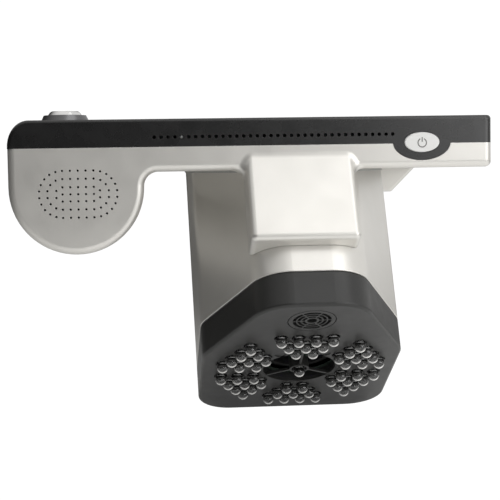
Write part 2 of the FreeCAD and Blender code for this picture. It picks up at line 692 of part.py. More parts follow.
def power_switch():
    body = box(POWER_X - 3, POWER_X + 3, NEAR + 6.6, NEAR + 9.5, POWER_Z - 3, POWER_Z + 3)
    return fuse([body, rod(1.5, (POWER_X, NEAR + 5.9, POWER_Z), (POWER_X, NEAR + 7, POWER_Z))])


def key_board():
    return box(POWER_X - 9, POWER_X + 9, NEAR + 9.5, NEAR + 10.7, POWER_Z - 6.5, POWER_Z + 6.5)


def shutter_bezel():
    bore = SHUTTER_RADIUS + BUTTON_GAP
    points = [(bore, BEZEL_HEIGHT), (BEZEL_TOP_RADIUS, BEZEL_HEIGHT), (BEZEL_RADIUS, 0.6), (BEZEL_RADIUS, 0),
              (SLEEVE_RADIUS, 0), (SLEEVE_RADIUS, -SLEEVE_DEPTH), (8.5, -SLEEVE_DEPTH), (8.5, -2.5),
              (bore, -2.5)]
    return moved(revolved(points), SHUTTER_X, SHUTTER_Y, 0)


def shutter_button():
    points = [(0, SHUTTER_TOP), (SHUTTER_TOP_RADIUS - 0.8, SHUTTER_TOP),
              (SHUTTER_TOP_RADIUS, SHUTTER_TOP - 0.5), (SHUTTER_RADIUS, BEZEL_HEIGHT - 0.4),
              (SHUTTER_RADIUS, -2.7), (8.2, -2.7), (8.2, -3.7), (2.5, -3.7), (2.5, -5.1), (0, -5.1)]
    return moved(revolved(points), SHUTTER_X, SHUTTER_Y, 0)


def shutter_switch():
    points = [(0, -6.2), (1.7, -6.2), (1.7, -7.2), (8.4, -7.2), (8.4, -SLEEVE_DEPTH), (0, -SLEEVE_DEPTH)]
    return moved(revolved(points), SHUTTER_X, SHUTTER_Y, 0)


def shutter_nut():
    ring = rod(12.0, (SHUTTER_X, SHUTTER_Y, CEILING - 2.5), (SHUTTER_X, SHUTTER_Y, CEILING))
    return cut(ring, [rod(SLEEVE_RADIUS, (SHUTTER_X, SHUTTER_Y, -8), (SHUTTER_X, SHUTTER_Y, 1))])


# ---- Camera head ----
def hood_shell():
    outer = head_prism(0, HEAD_TOP, -CAP_HEIGHT)
    low_edges = [e for e in outer.Edges if e.BoundBox.ZMin > -CAP_HEIGHT - 0.01]
    outer = outer.makeFillet(HOOD_LIP_ROUND, low_edges)
    inner = head_prism(HOOD_WALL, HEAD_TOP, -CAP_HEIGHT + 1)
    ring = head_prism(0.5, BULKHEAD_BACK, BULKHEAD_FRONT)
    bulkhead = cut(ring, [rod(BULKHEAD_BORE, (0, 0, -30), (0, 0, 0))])
    tube = to_head(fuse([cut(outer, [inner]), bulkhead]))
    above = box(-100, 100, -300, 300, HOOD_TOP, 200)
    opening = to_head(head_prism(HOOD_FLANGE, HEAD_TOP, -40))
    solid_head = to_head(head_prism(0.5, HEAD_TOP, -40))
    flange = cut(solid_head.common(box(-100, 100, -200, 200, HOOD_TOP - 2.4, HOOD_TOP)), [opening])
    bosses = [rod(POST_RADIUS, (x, y, HOOD_TOP - 9), (x, y, HOOD_TOP - 0.1)) for x, y in HOOD_BOSSES]
    shell = fuse([cut(tube, [above]), flange] + [b.common(solid_head) for b in bosses])
    holes = [rod(SCREW_PILOT, (x, y, HOOD_TOP - 8), (x, y, HOOD_TOP + 1)) for x, y in HOOD_BOSSES]
    for x, y in CAP_BOSSES:
        holes.append(to_head(rod(SCREW_HOLE, (x, y, -20), (x, y, -15))))
    return cut(shell, holes)


def hood_gasket():
    band = box(-100, 100, -200, 200, HOOD_TOP, UNDERSIDE)
    ring = to_head(head_prism(-GASKET_PROUD, HEAD_TOP, -40)).common(band)
    holes = [to_head(head_prism(HOOD_FLANGE, HEAD_TOP, -40))]
    holes += [rod(SCREW_HOLE, (x, y, HOOD_TOP - 1), (x, y, UNDERSIDE + 1)) for x, y in HOOD_BOSSES]
    holes.append(box(BAY_LEFT - 0.1, 80, -80, 80, -40, 0))
    wide = BLOCK_HALF_WIDTH + BLOCK_ROOT_ROUND + 0.1
    in_front = box(BLOCK_X - wide, BLOCK_X + wide, 40, 90, HEAD_TOP, 0)
    holes.append(cut(to_head(in_front), [to_head(head_prism(-0.2, HEAD_TOP, 1))]))
    return cut(ring, holes)


def cluster_centres(cluster):
    """LED centres of one cluster, in the head's frame."""
    turn = math.radians(90 - cluster * 360 / LED_CLUSTERS)
    centres = []
    for count, radius in LED_ROWS:
        for i in range(count):
            side = (i - (count - 1) / 2) * LED_PITCH
            x = radius * math.cos(turn) - side * math.sin(turn)
            y = radius * math.sin(turn) + side * math.cos(turn)
            centres.append((x, y))
    return centres


def led(x, y):
    """Five-millimetre LED: rim, body and domed tip, pointing out of the face."""
    dome_z, base = LED_DOME_Z, LED_BASE
    quarter = Part.Arc(Vec(LED_RADIUS, 0, dome_z),
                       Vec(LED_RADIUS * math.sqrt(0.5), 0, dome_z + LED_RADIUS * math.sqrt(0.5)),
                       Vec(0, 0, dome_z + LED_RADIUS)).toShape()
    points = [Vec(0, 0, dome_z + LED_RADIUS), Vec(0, 0, base), Vec(LED_RIM_RADIUS, 0, base),
              Vec(LED_RIM_RADIUS, 0, base + LED_RIM_THICK), Vec(LED_RADIUS, 0, base + LED_RIM_THICK),
              Vec(LED_RADIUS, 0, dome_z)]
    edges = [quarter]
    for first, second in zip(points, points[1:]):
        edges.append(Part.LineSegment(first, second).toShape())
    face = Part.Face(Part.Wire(Part.__sortEdges__(edges)))
    return moved(face.revolve(Vec(0, 0, 0), Vec(0, 0, 1), 360), x, y, 0)


def led_cluster(cluster):
    return [to_head(led(x, y)) for x, y in cluster_centres(cluster)]


def face_cap():
    body = head_prism(0, -CAP_HEIGHT, 0)
    front = [e for e in body.Edges if e.BoundBox.ZMin > -0.01]
    body = body.makeFillet(CAP_EDGE_ROUND, front)
    groove = cut(head_prism(-1, -CAP_HEIGHT - 1, -CAP_HEIGHT + CAP_GROOVE),
                 [head_prism(CAP_GROOVE, -CAP_HEIGHT - 2, -CAP_HEIGHT + 1)])
    body = cut(body, [head_prism(HOOD_WALL, -CAP_HEIGHT - 1, -FACE_PLATE), groove])
    lip = cut(head_prism(2.0, -CAP_HEIGHT, -CAP_HEIGHT + 2), [head_prism(3.5, -CAP_HEIGHT - 1, -1)])
    tongue = cut(head_prism(2.35, -CAP_HEIGHT - 1, -CAP_HEIGHT + 1), [head_prism(3.5, -CAP_HEIGHT - 2, 0)])
    bosses = [rod(POST_RADIUS, (x, y, PLATE_FRONT), (x, y, -FACE_PLATE + 0.2)) for x, y in CAP_BOSSES]
    body = fuse([body, lip, tongue] + bosses)
    holes = [rod(OPENING_RADIUS, (0, 0, -9), (0, 0, 5))]
    for cluster in range(LED_CLUSTERS):
        holes += [rod(LED_HOLE_RADIUS, (x, y, -5), (x, y, 5)) for x, y in cluster_centres(cluster)]
    holes += [rod(SCREW_PILOT, (x, y, PLATE_FRONT - 1), (x, y, -3)) for x, y in CAP_BOSSES]
    holes.append(rod(GRILLE_RADIUS, (0, GRILLE_Y, -1.1), (0, GRILLE_Y, 1)))
    holes.append(rod(GRILLE_RADIUS - 1.2, (0, GRILLE_Y, -5), (0, GRILLE_Y, 1)))
    holes += [rod(PLUG_RADIUS, (x, PLUG_Y, -0.4), (x, PLUG_Y, 1)) for x in (-PLUG_X, PLUG_X)]
    return to_head(cut(body, holes))


def centre_led_carrier():
    """Hub for the centre LED on three spokes, whose ends stand against the opening's wall."""
    reach = math.sqrt(OPENING_RADIUS ** 2 - (SPOKE_WIDTH / 2) ** 2)
    spokes = []
    for k in range(3):
        spoke = box(-SPOKE_WIDTH / 2, SPOKE_WIDTH / 2, HUB_RADIUS - 0.5, reach, SPOKE_BACK, 0)
        spoke.rotate(Vec(0, 0, 0), Vec(0, 0, 1), 120 * k)
        spokes.append(spoke)
    hub = rod(HUB_RADIUS, (0, 0, LED_BASE), (0, 0, HUB_PROUD))
    return to_head(cut(fuse([hub] + spokes), [rod(HUB_BORE, (0, 0, LED_BASE - 1), (0, 0, 3))]))


def camera_baffle():
    """Tube behind the opening, held between the cap and the LED board, that keeps stray light out."""
    tube = rod(BAFFLE_RADIUS, (0, 0, LED_BASE), (0, 0, -FACE_PLATE))
    return to_head(cut(tube, [rod(OPENING_RADIUS, (0, 0, LED_BASE - 1), (0, 0, 0))]))


def face_grille():
    """Round grille: three slotted rings and a centre hole, the rings crossed by six narrow bars."""
    disc = rod(GRILLE_RADIUS - 0.4, (0, 0, -1.1), (0, 0, 0))
    rings = []
    for middle, half in GRILLE_SLOTS:
        outer = rod(middle + half, (0, 0, -3), (0, 0, 3))
        rings.append(cut(outer, [rod(middle - half, (0, 0, -4), (0, 0, 4))]))
    bars = []
    for k in range(3):
        bar = box(-20, 20, -GRILLE_BAR / 2, GRILLE_BAR / 2, -5, 5)
        bar.rotate(Vec(0, 0, 0), Vec(0, 0, 1), GRILLE_TURN + 60 * k)
        bars.append(bar)
    slots = [cut(ring, bars) for ring in rings]
    slots.append(rod(GRILLE_CENTRE, (0, 0, -3), (0, 0, 3)))
    return to_head(moved(cut(disc, slots), 0, GRILLE_Y, 0))


def face_speaker():
    body = rod(10.0, (0, GRILLE_Y, -6.2), (0, GRILLE_Y, -FACE_PLATE))
    mouth = rod(8.6, (0, GRILLE_Y, -2.4), (0, GRILLE_Y, 0))
    magnet = rod(6.0, (0, GRILLE_Y, -8.6), (0, GRILLE_Y, -6))
    return to_head(cut(fuse([body, magnet]), [mouth]))


def led_board():
    board = rod(LED_BOARD_RADIUS, (0, 0, LED_BASE - LED_BOARD_THICK), (0, 0, LED_BASE))
    return to_head(cut(board, [rod(OPENING_RADIUS + 0.4, (0, 0, -9), (0, 0, 9))]))


def centre_led_board():
    return to_head(rod(HUB_RADIUS - 0.1, (0, 0, LED_BASE - 1.2), (0, 0, LED_BASE)))


def optics_plate():
    """Plate behind the LED board; its four posts press the board against the cap."""
    back = PLATE_FRONT - PLATE_THICK
    plate = head_prism(4.2, back, PLATE_FRONT)
    posts = []
    for turn in (60, 120, 240, 300):
        x = 37.0 * math.cos(math.radians(turn))
        y = 37.0 * math.sin(math.radians(turn))
        posts.append(rod(2.5, (x, y, PLATE_FRONT - 0.2), (x, y, LED_BASE - LED_BOARD_THICK)))
    holes = [rod(BARREL_RADIUS + 0.1, (0, 0, -30), (0, 0, 0))]
    holes += [rod(SCREW_HOLE, (x, y, -30), (x, y, 0)) for x, y in CAP_BOSSES]
    return to_head(cut(fuse([plate] + posts), holes))


def cap_screws():
    """Screws through the hood's bulkhead and the optics plate into the cap's bosses."""
    one = turned_over(screw(13.0))
    return [to_head(moved(one, x, y, BULKHEAD_BACK)) for x, y in CAP_BOSSES]


def lens_barrel():
    points = [(13.4, BARREL_FRONT), (BARREL_RADIUS, BARREL_FRONT), (BARREL_RADIUS, -16.6), (21.0, -16.6),
              (21.0, -18.6), (BARREL_RADIUS, -18.6), (BARREL_RADIUS, -34.0), (12.0, -36.0),
              (12.0, BARREL_BACK), (9.2, BARREL_BACK), (9.2, -30.0), (13.4, -30.0)]
    return to_head(revolved(points))


def lens(radius, back, edge, bulge):
    """Biconvex lens on the head's axis: a disc with two spherical caps."""
    sphere_radius = (radius * radius + bulge * bulge) / (2 * bulge)
    disc = rod(radius, (0, 0, back), (0, 0, back + edge + 2 * bulge))
    front = Part.makeSphere(sphere_radius, Vec(0, 0, back + edge + 2 * bulge - sphere_radius))
    rear = Part.makeSphere(sphere_radius, Vec(0, 0, back + sphere_radius))
    return to_head(disc.common(front).common(rear))


def camera_board():
    return to_head(box(-19, 19, -19, 19, BARREL_BACK - 1.6, BARREL_BACK))


def image_sensor():
    return to_head(box(-6, 6, -6, 6, BARREL_BACK, BARREL_BACK + 1.8))


def camera_ribbon():
    """Flat cable from the camera board up through the hood's opening to the main board."""
    points = [Vec(-8, -17.4, -62.6), Vec(-8, -12.6, -60.1), Vec(-8, -30.5, -30.0), Vec(-8, -33.0, -13.95)]
    thick = Vec(0, 0.35, 0)
    wire = Part.makePolygon(points + [p + thick for p in reversed(points)] + points[:1])
    return Part.Face(wire).extrude(Vec(16, 0, 0))


# ---- Write one file per node ----
def write(name, shape):
    if isinstance(shape, list):
        shape = Part.makeCompound(shape)
    good = shape.isValid() and all(s.isClosed() for s in shape.Shells)
    print("%-20s solids %2d  valid %s  volume %.0f" % (name, len(shape.Solids), good, shape.Volume))
    shape.exportStep("parts/%s.step" % name)


def main():
    os.makedirs("parts", exist_ok=True)
    nodes = {
        "top_cover": top_cover, "rear_housing": rear_housing, "hood_shell": hood_shell,
        "hood_gasket": hood_gasket, "face_cap": face_cap, "centre_led_carrier": centre_led_carrier,
        "camera_baffle": camera_baffle, "face_grille": face_grille,
        "face_speaker": face_speaker, "led_board": led_board, "centre_led_board": centre_led_board,
        "optics_plate": optics_plate, "cap_screws": cap_screws, "lens_barrel": lens_barrel,
        "camera_board": camera_board, "image_sensor": image_sensor, "camera_ribbon": camera_ribbon,
        "display_glass": display_glass, "lcd_module": lcd_module, "mid_frame": mid_frame,
        "main_board": main_board, "grip_speaker": grip_speaker, "battery_pack": battery_pack,
        "battery_door": battery_door, "battery_door_screws": battery_door_screws,
        "dc_socket": dc_socket, "usb_socket": usb_socket, "port_board": port_board,
        "tripod_insert": tripod_insert, "power_button": power_button, "power_symbol": power_symbol,
        "power_switch": power_switch, "key_board": key_board, "shutter_bezel": shutter_bezel,
        "shutter_button": shutter_button, "shutter_switch": shutter_switch, "shutter_nut": shutter_nut,
        "status_light": status_light}
    for name, make in nodes.items():
        write(name, make())
    write("front_lens", lens(13.3, -29.0, 2.0, 1.6))
    write("rear_lens", lens(9.0, -48.0, 1.5, 1.2))
    write("centre_led", to_head(led(0, 0)))
    for cluster in range(LED_CLUSTERS):
        write("led_cluster_%d" % (cluster + 1), led_cluster(cluster))
    write("housing_screws", screws_at(HOUSING_BOSSES, HOUSING_SCREW_SEAT, 13.0, True))
    write("frame_screws", screws_at(FRAME_BOSSES, FRAME_TOP - FRAME_THICK, 4.5, True))
    write("board_screws", screws_at(BOARD_POSTS, BOARD_TOP - BOARD_THICK, 5.0, True))
    write("hood_screws", screws_at(HOOD_BOSSES, FLOOR, 10.0, False))


main()
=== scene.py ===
import json
import math
import bmesh
import bpy
from mathutils import Matrix, Vector


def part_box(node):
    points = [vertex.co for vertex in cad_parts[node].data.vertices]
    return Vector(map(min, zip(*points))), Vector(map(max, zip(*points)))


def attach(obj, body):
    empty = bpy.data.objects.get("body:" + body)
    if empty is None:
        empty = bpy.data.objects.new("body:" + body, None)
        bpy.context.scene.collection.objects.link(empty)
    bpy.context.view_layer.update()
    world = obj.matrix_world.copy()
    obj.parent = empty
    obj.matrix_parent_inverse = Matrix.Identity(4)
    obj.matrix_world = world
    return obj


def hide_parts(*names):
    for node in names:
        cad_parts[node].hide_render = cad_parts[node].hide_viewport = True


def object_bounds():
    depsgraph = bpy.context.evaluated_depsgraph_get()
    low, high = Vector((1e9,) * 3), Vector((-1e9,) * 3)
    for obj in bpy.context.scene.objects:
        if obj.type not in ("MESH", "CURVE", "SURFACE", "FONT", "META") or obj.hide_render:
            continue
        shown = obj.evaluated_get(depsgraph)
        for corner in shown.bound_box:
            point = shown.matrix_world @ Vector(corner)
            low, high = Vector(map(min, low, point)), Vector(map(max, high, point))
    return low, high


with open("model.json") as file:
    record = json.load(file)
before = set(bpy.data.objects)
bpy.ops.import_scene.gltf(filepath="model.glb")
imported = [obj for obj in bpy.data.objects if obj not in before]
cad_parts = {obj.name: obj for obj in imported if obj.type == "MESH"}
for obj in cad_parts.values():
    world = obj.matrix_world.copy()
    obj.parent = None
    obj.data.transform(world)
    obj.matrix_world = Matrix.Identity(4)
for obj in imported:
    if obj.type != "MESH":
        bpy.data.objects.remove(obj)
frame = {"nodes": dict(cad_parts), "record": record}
cad_low, cad_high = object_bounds()
nodes = frame["nodes"]
scene = bpy.context.scene
scene.view_settings.view_transform = "Standard"
MM = 0.001

# ---- The head: its face looks down and forwards ----
HEAD_TILT = math.radians(31.0)
HEAD_AXIS = Vector((0.0, -math.sin(HEAD_TILT), -math.cos(HEAD_TILT)))
HEAD_FRONT = Vector((0.0, -math.cos(HEAD_TILT), math.sin(HEAD_TILT)))

# ---- Camera: it stands off the wall with the power button, left of the hood ----
CAMERA_DISTANCE = 0.5243
CAMERA_X = -0.0714
CAMERA_Z = -0.0206
CAMERA_YAW = math.radians(5.16)
CAMERA_PITCH = math.radians(-3.84)
CAMERA_ROLL = math.radians(-0.90)
CAMERA_LENS = 89.5
SENSOR_WIDTH = 36.0


def add_camera():
    """Level camera turned by its fitted yaw, pitch and roll."""
    data = bpy.data.cameras.new("camera")
    data.lens = CAMERA_LENS
    data.sensor_width = SENSOR_WIDTH
    data.clip_start = 0.01
    camera = bpy.data.objects.new("camera", data)
    near_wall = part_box("top_cover")[0].y
    place = Matrix.Translation((CAMERA_X, near_wall - CAMERA_DISTANCE, CAMERA_Z))
    turn = Matrix.Rotation(-CAMERA_YAW, 4, "Z") @ Matrix.Rotation(math.radians(90) + CAMERA_PITCH, 4, "X")
    camera.matrix_world = place @ turn @ Matrix.Rotation(CAMERA_ROLL, 4, "Z")
    scene.collection.objects.link(camera)
    scene.camera = camera


# ---- Node helpers: every texture is measured in the part's own metres ----
SOFT_EDGE = 0.25 * MM
METAL_GRAIN = 1500.0
METAL_DEPTH = 0.002 * MM


class Look:
    """One material being built: its tree, its shader and the object coordinates."""

    def __init__(self, name, color, roughness, **constants):
        self.material = bpy.data.materials.new(name)
        self.material.use_nodes = True
        self.tree = self.material.node_tree
        self.shader = self.tree.nodes["Principled BSDF"]
        self.place = self.add("ShaderNodeTexCoord").outputs["Object"]
        self.color = color
        self.roughness = roughness
        self.shader.inputs["Base Color"].default_value = (*color, 1.0)
        self.shader.inputs["Roughness"].default_value = roughness
        for socket, value in constants.items():
            self.shader.inputs[socket.replace("_", " ")].default_value = value

    def add(self, kind, **settings):
        node = self.tree.nodes.new(kind)
        for key, value in settings.items():
            setattr(node, key, value)
        return node

    def link(self, output, socket):
        self.tree.links.new(output, socket)

    def noise(self, scale, detail=2.0, stretch=None):
        node = self.add("ShaderNodeTexNoise")
        node.inputs["Scale"].default_value = scale
        node.inputs["Detail"].default_value = detail
        place = self.place
        if stretch:
            mapping = self.add("ShaderNodeMapping")
            mapping.inputs["Scale"].default_value = stretch
            self.link(place, mapping.inputs["Vector"])
            place = mapping.outputs["Vector"]
        self.link(place, node.inputs["Vector"])
        return node.outputs[0]

    def spread(self, value, low, high, start=0.3, end=0.7):
        """Stretch a value's useful range to run from low to high."""
        node = self.add("ShaderNodeMapRange")
        node.inputs["From Min"].default_value = start
        node.inputs["From Max"].default_value = end
        node.inputs["To Min"].default_value = low
        node.inputs["To Max"].default_value = high
        self.link(value, node.inputs["Value"])
        return node.outputs["Result"]

    def mix(self, factor, first, second):
        node = self.add("ShaderNodeMix", data_type="RGBA")
        self.link(factor, node.inputs[0])
        for socket, value in ((node.inputs[6], first), (node.inputs[7], second)):
            if isinstance(value, tuple):
                socket.default_value = (*value, 1.0)
            else:
                self.link(value, socket)
        return node.outputs[2]

    def mottle(self, scale, amount):
        """Slow colour variation round the base colour."""
        dark = tuple(c * (1 - amount) for c in self.color)
        light = tuple(min(c * (1 + amount), 1.0) for c in self.color)
        return self.mix(self.spread(self.noise(scale, 4.0), 0.0, 1.0), dark, light)

    def uneven_gloss(self, scale, amount):
        low = max(self.roughness - amount, 0.0)
        value = self.spread(self.noise(scale, 5.0), low, self.roughness + amount)
        self.link(value, self.shader.inputs["Roughness"])

    def edge_mask(self, reach):
        """One near a convex or concave edge, nought on flat ground."""
        bevel = self.add("ShaderNodeBevel", samples=4)
        bevel.inputs["Radius"].default_value = reach
        geometry = self.add("ShaderNodeNewGeometry")
        dot = self.add("ShaderNodeVectorMath", operation="DOT_PRODUCT")
        self.link(bevel.outputs["Normal"], dot.inputs[0])
        self.link(geometry.outputs["Normal"], dot.inputs[1])
        return self.spread(dot.outputs["Value"], 1.0, 0.0, 0.86, 0.995)

    def relief(self, height, depth):
        """Bump of the given depth over edges softened by a small radius."""
        bevel = self.add("ShaderNodeBevel", samples=4)
        bevel.inputs["Radius"].default_value = SOFT_EDGE
        bump = self.add("ShaderNodeBump")
        bump.inputs["Strength"].default_value = 1.0
        bump.inputs["Distance"].default_value = depth
        self.link(height, bump.inputs["Height"])
        self.link(bevel.outputs["Normal"], bump.inputs["Normal"])
        self.link(bump.outputs["Normal"], self.shader.inputs["Normal"])

    def paint(self, color_output):
        self.link(color_output, self.shader.inputs["Base Color"])


def moulded(name, color, roughness, grain=2600.0, depth=4e-6, edge_wear_and_highlight=0.0, **constants):
    """Moulded plastic or paint: fine grain, slow mottling, uneven gloss, and edges painted paler in scratchy
    patches, partly worn and partly a painted highlight.
    """
    look = Look(name, color, roughness, **constants)
    shade = look.mottle(38.0, 0.035)
    # Edges painted paler in scratchy patches: partly worn, partly a painted highlight.
    if edge_wear_and_highlight:
        rubbed_and_highlit = tuple(min(c * (1 + edge_wear_and_highlight) + 0.02 * edge_wear_and_highlight, 1.0) for c in color)
        scratches = look.spread(look.noise(900.0, 3.0), 0.0, 1.0, 0.4, 0.6)
        mask = look.add("ShaderNodeMath", operation="MULTIPLY")
        look.link(look.edge_mask(0.0004), mask.inputs[0])
        look.link(scratches, mask.inputs[1])
        shade = look.mix(mask.outputs["Value"], shade, rubbed_and_highlit)
    look.paint(shade)
    look.uneven_gloss(120.0, 0.035)
    look.relief(look.noise(grain, 3.0), depth)
    return look.material


def metal(name, color, roughness, stretch=None):
    """Bare metal with drawn or turned streaks where stretch is given."""
    look = Look(name, color, roughness, Metallic=1.0)
    look.paint(look.mottle(160.0, 0.08))
    value = look.spread(look.noise(METAL_GRAIN, 4.0, stretch), roughness * 0.7, roughness * 1.5)
    look.link(value, look.shader.inputs["Roughness"])
    look.relief(look.noise(METAL_GRAIN, 2.0, stretch), METAL_DEPTH)
    return look.material


# ---- Light and floor: the camera sees both plain and pale, the object gets a softer, uneven light ----
SEEN_WHITE = 1.05
SURROUND_DIM = 0.05
SURROUND_BRIGHT = 0.82
OVERHEAD_BRIGHT = 0.85
FLOOR_SIZE = 8.0
FLOOR_GAP = 0.2 * MM
# Centre and strength of the floor's painted pool of light and painted glow.
FLOOR_PAINTED_LIGHT_PLACE = (0.12, -0.20, 0.0)
FLOOR_PAINTED_GLOW = 0.40


def add_world():
    """Studio surround: dim on the grip's side, bright overhead and on the free end's side."""
    world = bpy.data.worlds.new("studio")
    world.use_nodes = True
    tree = world.node_tree
    background = tree.nodes["Background"]
    output = tree.nodes["World Output"]
    coordinate = tree.nodes.new("ShaderNodeTexCoord")
    split = tree.nodes.new("ShaderNodeSeparateXYZ")
    tree.links.new(coordinate.outputs["Generated"], split.inputs[0])

    def smooth(value, start, end, low, high):
        node = tree.nodes.new("ShaderNodeMapRange")
        node.interpolation_type = "SMOOTHSTEP"
        for key, number in zip(("From Min", "From Max", "To Min", "To Max"), (start, end, low, high)):
            node.inputs[key].default_value = number
        tree.links.new(value, node.inputs["Value"])
        return node.outputs["Result"]

    across = smooth(split.outputs["X"], -0.10, 0.50, SURROUND_DIM, SURROUND_BRIGHT)
    upwards = smooth(split.outputs["Z"], 0.35, 0.90, 0.0, 1.0)
    blend = tree.nodes.new("ShaderNodeMix")
    tree.links.new(upwards, blend.inputs[0])
    tree.links.new(across, blend.inputs[2])
    blend.inputs[3].default_value = OVERHEAD_BRIGHT
    tree.links.new(blend.outputs[0], background.inputs["Strength"])
    background.inputs["Color"].default_value = (1.0, 0.995, 0.985, 1.0)
    plain = tree.nodes.new("ShaderNodeBackground")
    plain.inputs["Color"].default_value = (1.0, 1.0, 1.0, 1.0)
    plain.inputs["Strength"].default_value = SEEN_WHITE
    path = tree.nodes.new("ShaderNodeLightPath")
    pick = tree.nodes.new("ShaderNodeMixShader")
    tree.links.new(path.outputs["Is Camera Ray"], pick.inputs[0])
    tree.links.new(background.outputs["Background"], pick.inputs[1])
    tree.links.new(plain.outputs["Background"], pick.inputs[2])
    tree.links.new(pick.outputs["Shader"], output.inputs["Surface"])
    scene.world = world


def softbox(name, place, aim, size, radiance):
    """Rectangular area light of the given radiance, turned towards a place."""
    data = bpy.data.lights.new(name, "AREA")
    data.shape = "RECTANGLE"
    data.size, data.size_y = size
    data.energy = radiance * math.pi * size[0] * size[1]
    light = bpy.data.objects.new(name, data)
    light.location = place
    light.rotation_euler = (Vector(aim) - Vector(place)).to_track_quat("-Z", "Y").to_euler()
    scene.collection.objects.link(light)


def add_floor():
    """Paper floor with painted light: brightest and faintly glowing in front of the hood, painted dark
    further off.
    """
    bm = bmesh.new()
    bmesh.ops.create_grid(bm, x_segments=1, y_segments=1, size=FLOOR_SIZE)
    mesh = bpy.data.meshes.new("floor")
    bm.to_mesh(mesh)
    floor = bpy.data.objects.new("floor", mesh)
    floor.location = (0, 0, cad_low[2] - FLOOR_GAP)
    scene.collection.objects.link(floor)
    look = Look("floor_paper", (0.82, 0.82, 0.815), 0.9)
    away = look.add("ShaderNodeVectorMath", operation="LENGTH")
    from_middle = look.add("ShaderNodeVectorMath", operation="SUBTRACT")
    from_middle.inputs[1].default_value = FLOOR_PAINTED_LIGHT_PLACE
    look.link(look.place, from_middle.inputs[0])
    look.link(from_middle.outputs["Vector"], away.inputs[0])
    painted_dark_far_off = look.spread(away.outputs["Value"], 0.0, 1.0, 0.20, 0.65)
    # Painted pool of light: the floor's colour fades from pale near the bright place to dark further off.
    look.paint(look.mix(painted_dark_far_off, look.mottle(3.0, 0.01), (0.05, 0.05, 0.05)))
    # Painted glow: the floor gives off light near the bright place, though it is no lamp.
    painted_glow_strength = look.spread(away.outputs["Value"], FLOOR_PAINTED_GLOW, 0.0, 0.10, 0.50)
    look.link(painted_glow_strength, look.shader.inputs["Emission Strength"])
    look.shader.inputs["Emission Color"].default_value = (1.0, 1.0, 1.0, 1.0)
    seen = look.add("ShaderNodeEmission")
    seen.inputs["Strength"].default_value = SEEN_WHITE
    path = look.add("ShaderNodeLightPath")
    pick = look.add("ShaderNodeMixShader")
    look.link(path.outputs["Is Camera Ray"], pick.inputs[0])
    look.link(look.shader.outputs["BSDF"], pick.inputs[1])
    look.link(seen.outputs["Emission"], pick.inputs[2])
    look.link(pick.outputs["Shader"], look.tree.nodes["Material Output"].inputs["Surface"])
    floor.data.materials.append(look.material)


# ---- Materials ----
def silver_paint():
    """Satin silver lacquer: metallic flakes under a thin clear coat, with a painted highlight along its
    edges.
    """
    look = Look("silver_shell", (0.72, 0.705, 0.668), 0.36, Metallic=0.72, Coat_Weight=0.15,
                Coat_Roughness=0.25)
    base = look.mottle(30.0, 0.02)
    flakes = look.add("ShaderNodeTexVoronoi")
    flakes.inputs["Scale"].default_value = 9000.0
    look.link(look.place, flakes.inputs["Vector"])
    bright = look.spread(flakes.outputs["Distance"], 0.0, 0.10, 0.3, 0.9)
    shade = look.mix(bright, base, (0.82, 0.805, 0.775))
    # Painted highlight: every edge, convex or concave, is painted a paler silver.
    look.paint(look.mix(look.edge_mask(0.00035), shade, (0.80, 0.785, 0.75)))
    look.uneven_gloss(90.0, 0.03)
    look.relief(look.noise(1800.0, 3.0), 3e-6)
    return look.material


def clear_epoxy():
    """Clear body with a painted highlight: its colour is painted pale on the dome's downward-facing side,
    standing in for the light it gathers there; it is least clear at its rim.
    """
    look = Look("clear_epoxy", (0.44, 0.44, 0.43), 0.04, IOR=1.5, Coat_Weight=0.6,
                Coat_Roughness=0.03, Sheen_Weight=0.5, Sheen_Roughness=0.25)
    facing = look.add("ShaderNodeLayerWeight")
    facing.inputs["Blend"].default_value = 0.5
    coords = look.add("ShaderNodeTexCoord")
    downward = look.add("ShaderNodeVectorMath", operation="DOT_PRODUCT")
    look.link(coords.outputs["Normal"], downward.inputs[0])
    downward.inputs[1].default_value = (0.0, 0.0, -1.0)
    painted_underside_highlight = look.spread(downward.outputs["Value"], 0.0, 1.0, 0.08, 0.6)
    turned = look.spread(facing.outputs["Facing"], 0.0, 1.0, 0.25, 0.60)
    rim = look.add("ShaderNodeMath", operation="MULTIPLY")
    look.link(turned, rim.inputs[0])
    look.link(painted_underside_highlight, rim.inputs[1])
    cloudy = rim.outputs[0]
    # Painted highlight: the base colour goes pale where the dome faces down.
    look.paint(look.mix(painted_underside_highlight, look.mottle(60.0, 0.08), (0.95, 0.94, 0.91)))
    # Transmission drops where the painted highlight lies, so the pale painted colour shows there.
    look.link(look.spread(cloudy, 1.0, 0.05, 0.0, 1.0), look.shader.inputs["Transmission Weight"])
    return look.material


